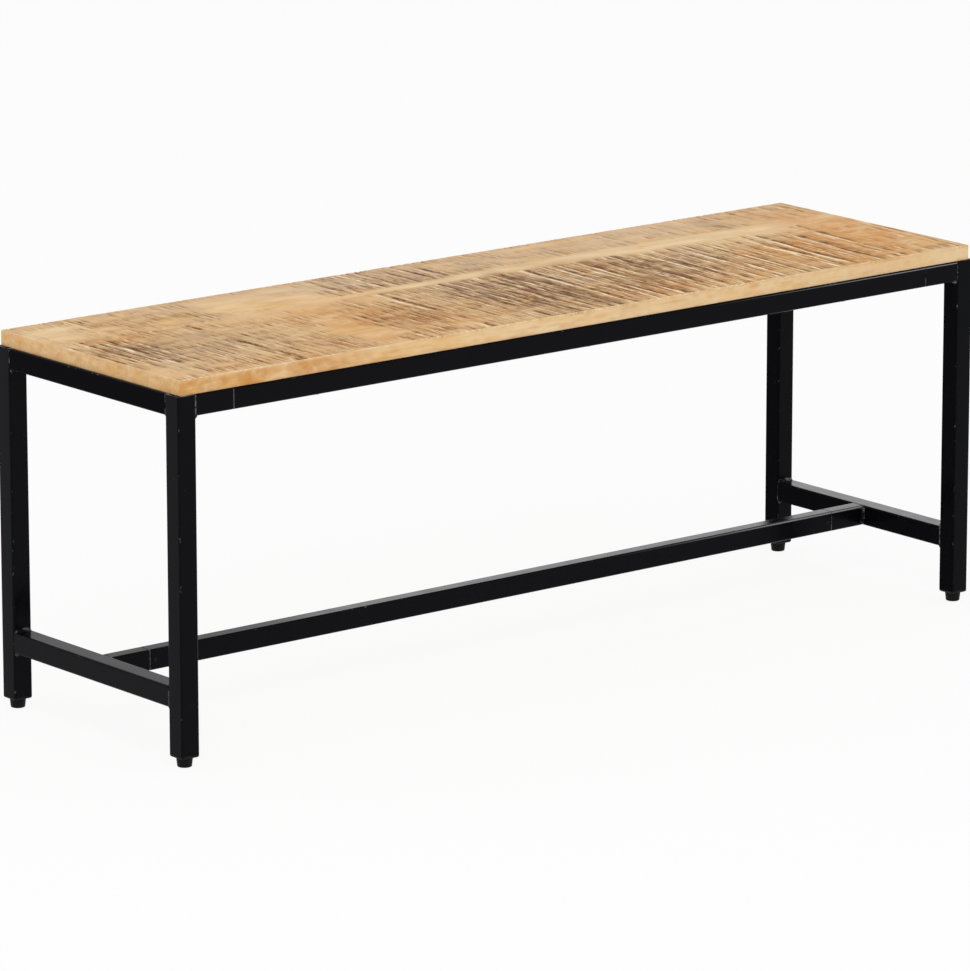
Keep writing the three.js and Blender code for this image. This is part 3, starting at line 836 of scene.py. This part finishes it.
class BENCH_OT_welds(bpy.types.Operator):
    """Welds the two end frames: fillets in the inner corners, beads ground flush between flush faces"""

    bl_idname = "bench.welds"
    bl_label = "Welds"

    def execute(self, context):
        steel = context.scene.bench_steel
        finish = material(powder_coat, steel)
        up, down = (0, 0, 1), (0, 0, -1)
        for end, inward in (("left", 1), ("right", -1)):
            rng = np.random.default_rng(12 + inward)
            bm = bmesh.new()
            sides = [(inward, 0, 0), (-inward, 0, 0)]
            for toward in (-1, 1):
                weld_joint(bm, f"cross_rail_{end}", "y", toward, [down], sides, steel, rng)
                weld_joint(bm, f"end_stretcher_{end}", "y", toward, [up, down], sides, steel, rng)
            faces = [(0, 1, 0), (0, -1, 0)]
            for row in ROWS:
                weld_joint(bm, f"stub_{row}_{end}", "x", -inward, [down], faces, steel, rng)
            weld_joint(bm, f"stub_lower_{end}", "x", -inward, faces, [up, down], steel, rng)
            layer = bm.verts.layers.float.new("edge")
            for vert in bm.verts:
                vert[layer] = 0.75
            smooth(mesh_piece(f"welds_{end}", bm, finish))
        return {"FINISHED"}


# ------------------------------------------------------------------------------ plugs and feet


class BENCH_OT_leg_plugs(bpy.types.Operator):
    """Makes the plastic plugs that close the legs"""

    bl_idname = "bench.leg_plugs"
    bl_label = "Leg plugs"

    flange: length("Flange", "Thickness of the rim that shows under the leg", 3)
    body_inset: length("Body inset", "How far the plug's body stands in from its rim", 1.8)
    lip: length("Lip", "Rounding of the rim's bottom edge", 2.6)

    def execute(self, context):
        steel = context.scene.bench_steel
        finish = material(moulded_plastic, steel)
        for node in [f"leg_plug_{row}_{end}" for row in ROWS for end in ENDS]:
            low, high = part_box(node)
            bm = box_mesh(low, Vector((high.x, high.y, low.z + self.flange)))
            bevel(bm, edges_along(bm, AXES["z"]), steel.corner, 6)
            bevel(bm, [edge for face in faces_facing(bm, -AXES["z"]) for edge in face.edges], self.lip, 4)
            body = faces_facing(bm, AXES["z"])
            bmesh.ops.inset_region(bm, faces=body, thickness=self.body_inset)
            grown = bmesh.ops.extrude_face_region(bm, geom=body)["geom"]
            bmesh.ops.delete(bm, geom=body, context="FACES_ONLY")
            rise = high.z - low.z - self.flange
            bmesh.ops.translate(bm, vec=(0, 0, rise), verts=only(grown, VERT))
            smooth(mesh_piece(f"moulded_{node}", bm, finish, [node]))
        return {"FINISHED"}


def round_box(node):
    """The middle of an upright round node's underside, its height and its radius."""
    low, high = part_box(node)
    size, middle = high - low, (low + high) / 2
    return Vector((middle.x, middle.y, low.z)), size.z, size.x / 2


class BENCH_OT_feet(bpy.types.Operator):
    """Makes the levelling feet: a round plastic base on a threaded stud"""

    bl_idname = "bench.feet"
    bl_label = "Levelling feet"

    sole_taper: length("Sole taper", "How much smaller in radius the sole is than the top", 1.0)
    edge: length("Edge", "Rounding of the sole's edge", 1.4)
    pitch: length("Pitch", "Travel of the stud in one turn", 1.25)
    thread_depth: length("Thread depth", "Depth of the stud's thread", 0.65)
    thread_start: length("Thread start", "Where the thread begins, above the stud's underside", 3.6)
    head_height: length("Head height", "Height of the stud's head, inside the base", 3)
    rounding: length("Rounding", "Rounding of the base's top edge, and the stud's chamfer", 0.6)
    socket_radius: length("Socket radius", "Radius of the recess round the stud", 4.4)
    socket_depth: length("Socket depth", "Depth of the recess round the stud", 1.5)

    def base(self, node, body, finish):
        centre, top, radius = round_box(node)
        sole, socket, curve = radius - self.sole_taper, self.socket_radius, self.rounding
        bm = bmesh.new()
        profile = [(0, 0), (sole - self.edge, 0)]
        profile += arc(sole - self.edge, self.edge, self.edge, -90, 0, 6)[1:]
        profile += arc(radius - curve, top - curve, curve, 0, 90, 4)
        profile += [(socket, top), (socket, top - self.socket_depth), (0, top - self.socket_depth)]
        revolve(bm, profile, centre, 64)
        smooth(mesh_piece(f"moulded_{node}", bm, finish, [node], body))

    def stud(self, node, body, finish):
        """A plain core with a screwed ridge round it, and its head at the bottom, inside the base."""
        centre, height, head = round_box(node)
        outer = head * 4 / 6  # an M8 thread on a head 12 mm across
        core = outer - self.thread_depth
        bm = bmesh.new()
        profile = [(0, 0), (head, 0), (head, self.head_height), (core, self.head_height)]
        profile += [(core, height - self.rounding), (core - self.rounding, height), (0, height)]
        revolve(bm, profile, centre, 32)
        plain = 5.5 * MM  # how much of the stud's length has no thread
        turns, steps = int((height - plain) / self.pitch), 24
        start = centre + Vector((0, 0, self.thread_start))
        sunk = core - 0.2 * MM  # the ridge's foot lies just inside the core
        section = [(sunk, -0.42), (sunk, 0.42), (outer, 0.06), (outer, -0.06)]
        ring = [bm.verts.new(start + Vector((r, 0, h * self.pitch))) for r, h in section]
        cap = bm.faces.new(ring)
        bmesh.ops.spin(
            bm, geom=[cap, *cap.edges, *ring], cent=centre, axis=AXES["z"], angle=math.tau * turns,
            steps=steps * turns, dvec=(0, 0, self.pitch / steps), use_merge=False, use_duplicate=False,
        )
        smooth(mesh_piece(f"threaded_{node}", bm, finish, [node], body))

    def execute(self, context):
        steel = context.scene.bench_steel
        plastic, zinc = material(moulded_plastic, steel), material(zinc_plate, steel)
        for row in ROWS:
            for end in ENDS:
                self.base(f"foot_base_{row}_{end}", f"base_{row}_{end}", plastic)
                self.stud(f"foot_stud_{row}_{end}", f"stud_{row}_{end}", zinc)
        return {"FINISHED"}


# ------------------------------------------------------------------------------ screws and connectors


def screw_mesh(low, high, head_way, head_height, recess):
    """A round-headed screw in a node's box, with its head on the side that head_way points to.

    It is made upright with its head up, then turned so that the head faces head_way.
    """
    size = high - low
    along = max(range(3), key=lambda i: size[i])
    total = size[along]
    radius = min(size[i] for i in range(3)) / 2
    shank = radius * recess["shank"]
    bm = bmesh.new()
    profile = [(0, -total + head_height), (shank * 0.35, -total + head_height + shank)]
    profile += [(shank, -total + head_height + 2.6 * shank), (shank, 0), (radius, 0)]
    profile += arc(radius - 0.7 * head_height, 0.3 * head_height, 0.7 * head_height, 0, 90, 5)
    profile += [(recess["reach"] * radius, head_height)]
    revolve(bm, profile, Vector((0, 0, 0)), 24)
    # The recess goes down from the open ring left in the head: a narrowing well with the driver's sides.
    ring = [edge for edge in bm.edges if edge.is_boundary]
    well = bmesh.ops.extrude_edge_only(bm, edges=ring)["geom"]
    for vert in only(well, VERT):
        pull = recess["narrow"](math.atan2(vert.co.y, vert.co.x))
        vert.co.x *= pull
        vert.co.y *= pull
        vert.co.z -= 0.15 * MM
    ring = [edge for edge in only(well, EDGE) if edge.is_boundary]
    floor = bmesh.ops.extrude_edge_only(bm, edges=ring)["geom"]
    bmesh.ops.translate(bm, vec=(0, 0, -0.55 * head_height), verts=only(floor, VERT))
    bmesh.ops.holes_fill(bm, edges=[edge for edge in bm.edges if edge.is_boundary], sides=0)
    seat = (low + high) / 2 + head_way * (total / 2 - head_height)
    turn = head_way.to_track_quat("Z", "Y").to_matrix().to_4x4()
    bmesh.ops.transform(bm, matrix=Matrix.Translation(seat) @ turn, verts=bm.verts)
    return bm


def cross_recess(angle):
    """A cross-point driver's four arms."""
    return 0.42 + 0.58 * abs(math.cos(2 * angle)) ** 3


def hex_recess(angle):
    """A hexagon key's six flats."""
    return math.cos(math.pi / 6) / math.cos((angle % (math.pi / 3)) - math.pi / 6) * 0.95


CROSS = {"shank": 0.5, "reach": 0.55, "narrow": cross_recess}
HEXAGON = {"shank": 0.6, "reach": 0.5, "narrow": hex_recess}


class BENCH_OT_screws(bpy.types.Operator):
    """Makes the seat screws and the joint screws"""

    bl_idname = "bench.screws"
    bl_label = "Screws"

    seat_head: length("Seat screw head", "Height of a seat screw's head", 2.6)
    joint_head: length("Joint screw head", "Height of a joint screw's head", 1.0)

    def execute(self, context):
        steel = context.scene.bench_steel
        zinc, oxide = material(zinc_plate, steel), material(black_oxide, steel)
        down = Vector((0, 0, -1))
        places = [f"{row}_{place}" for row in ROWS for place in ("left", "middle", "right")]
        for node in [f"seat_screw_{place}" for place in (*places, "left_end", "right_end")]:
            low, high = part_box(node)
            bm = screw_mesh(low, high, down, self.seat_head, CROSS)
            smooth(mesh_piece(f"plated_{node}", bm, zinc, [node]))
        for run, way in (("front", 1), ("rear", -1), ("lower", -1)):
            for end in ENDS:
                node = f"joint_screw_{run}_{end}"
                low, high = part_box(node)
                bm = screw_mesh(low, high, Vector((0, way, 0)), self.joint_head, HEXAGON)
                smooth(mesh_piece(f"blackened_{node}", bm, oxide, [node]))
        return {"FINISHED"}


class BENCH_OT_connectors(bpy.types.Operator):
    """Coats the connector bars inside the tubes, whose shape is already right"""

    bl_idname = "bench.connectors"
    bl_label = "Connector bars"

    def execute(self, context):
        finish = material(powder_coat, context.scene.bench_steel)
        for node in [f"connector_{run}_{end}" for run in (*ROWS, "lower") for end in ENDS]:
            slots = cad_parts[node].data.materials
            slots.clear()
            slots.append(finish)
        return {"FINISHED"}


# ------------------------------------------------------------------------------ stage


def seen_directly(tree):
    """1 for what the camera sees, straight or in a reflection or through glass, and 0 for light itself."""
    seen = add_node(tree, "LightPath", out="Is Camera Ray")
    for name in ("Is Glossy Ray", "Is Transmission Ray"):
        ray = add_node(tree, "LightPath", out=name)
        seen = add_node(tree, "Math", {0: seen, 1: ray}, operation="MAXIMUM")
    return seen


def studio_paper(stage):
    """White seamless paper: matte, and bright enough to the camera that only a faint shadow shows."""
    finish, tree = empty_tree(bpy.data.materials, "white_studio_paper")
    share = add_node(tree, "Math", {0: seen_directly(tree), 1: stage.whiteness}, operation="MULTIPLY")
    paper = add_node(tree, "BsdfDiffuse", {"Color": opaque(stage.paper)})
    white = add_node(tree, "Emission", {"Color": (1, 1, 1, 1), "Strength": 1.0})
    shader = add_node(tree, "MixShader", {0: share, 1: paper, 2: white})
    add_node(tree, "OutputMaterial", {"Surface": shader}, out=None)
    return finish


def studio_world(stage):
    """An even white surround: plain white to the camera and in reflections, softer as light."""
    world, tree = empty_tree(bpy.data.worlds, "white_surround")
    strength = add_node(tree, "MapRange", {"Value": seen_directly(tree), "To Min": stage.sky, "To Max": 1.0})
    surround = add_node(tree, "Background", {"Color": (1, 1, 1, 1), "Strength": strength})
    add_node(tree, "OutputWorld", {"Surface": surround}, out=None)
    return world


def soft_box(name, place, target, size, power, glossy_only=False):
    light = bpy.data.lights.new(name, "AREA")
    light.shape = "RECTANGLE"
    light.size, light.size_y = size
    light.energy = power
    lamp = bpy.data.objects.new(name, light)
    lamp.visible_camera = False
    lamp.visible_diffuse = not glossy_only
    lamp.location = place
    lamp.rotation_euler = (Vector(target) - Vector(place)).to_track_quat("-Z", "Y").to_euler()
    bpy.context.scene.collection.objects.link(lamp)


class BENCH_OT_stage(bpy.types.Operator):
    """Sets up the white floor, the surround, the soft lights and the camera"""

    bl_idname = "bench.stage"
    bl_label = "Stage"

    def execute(self, context):
        stage = context.scene.bench_stage
        bm = bmesh.new()
        bmesh.ops.create_circle(bm, cap_ends=True, segments=96, radius=stage.floor_size / 2)
        mesh = bpy.data.meshes.new("studio_floor")
        bm.to_mesh(mesh)
        bm.free()
        mesh.materials.append(studio_paper(stage))
        floor = bpy.data.objects.new("studio_floor", mesh)
        floor.location.z = -0.2 * MM  # just under the feet
        context.scene.collection.objects.link(floor)

        soft_box("key_light", (-1.8, -2.3, 2.8), (0, 0, 0.3), (2.4, 1.6), stage.key)
        soft_box("back_panel", (2.2, 2.2, 0.82), (0.2, 0, 0.3), (1.3, 1.0), stage.panel, True)

        context.scene.world = studio_world(stage)
        context.scene.view_settings.view_transform = "Standard"

        camera_data = bpy.data.cameras.new("camera")
        camera_data.sensor_width = 36
        camera_data.lens = stage.lens
        camera_data.clip_start, camera_data.clip_end = 0.1, 100
        camera = bpy.data.objects.new("camera", camera_data)
        flat = math.cos(stage.elevation)
        east, north = math.sin(stage.azimuth) * flat, -math.cos(stage.azimuth) * flat
        back = Vector((east, north, math.sin(stage.elevation)))
        camera.location = Vector(stage.aim) + back * stage.distance
        turn = (-back).to_track_quat("-Z", "Y").to_matrix()
        camera.rotation_euler = (turn @ Matrix.Rotation(stage.roll, 3, "Z")).to_euler()
        context.scene.collection.objects.link(camera)
        context.scene.camera = camera
        return {"FINISHED"}


# ------------------------------------------------------------------------------ panel and start


class BENCH_PT_parts(bpy.types.Panel):
    bl_label = "Entryway Bench"
    bl_idname = "BENCH_PT_parts"
    bl_space_type = "VIEW_3D"
    bl_region_type = "UI"
    bl_category = "Bench"

    def draw(self, context):
        layout = self.layout
        for operator in OPERATORS:
            layout.operator(operator.bl_idname)
        for group in (context.scene.bench_wood, context.scene.bench_steel, context.scene.bench_stage):
            box = layout.box()
            for key in group.bl_rna.properties.keys():
                if key not in ("rna_type", "name"):
                    box.prop(group, key)


OPERATORS = (
    BENCH_OT_stage,
    BENCH_OT_seat_boards,
    BENCH_OT_steel_tubes,
    BENCH_OT_welds,
    BENCH_OT_leg_plugs,
    BENCH_OT_feet,
    BENCH_OT_screws,
    BENCH_OT_connectors,
)
SETTINGS = {
    "bench_wood": BenchWoodSettings,
    "bench_steel": BenchSteelSettings,
    "bench_stage": BenchStageSettings,
}


def register():
    for item in (*SETTINGS.values(), *OPERATORS, BENCH_PT_parts):
        bpy.utils.register_class(item)
    for name, group in SETTINGS.items():
        setattr(bpy.types.Scene, name, PointerProperty(type=group))


def unregister():
    for name in SETTINGS:
        delattr(bpy.types.Scene, name)
    for item in reversed((*SETTINGS.values(), *OPERATORS, BENCH_PT_parts)):
        bpy.utils.unregister_class(item)


def main():
    register()
    bpy.ops.bench.stage()
    bpy.ops.bench.seat_boards()
    bpy.ops.bench.steel_tubes()
    bpy.ops.bench.welds()
    bpy.ops.bench.leg_plugs()
    bpy.ops.bench.feet()
    bpy.ops.bench.screws()
    bpy.ops.bench.connectors()


if __name__ == "__main__":
    main()
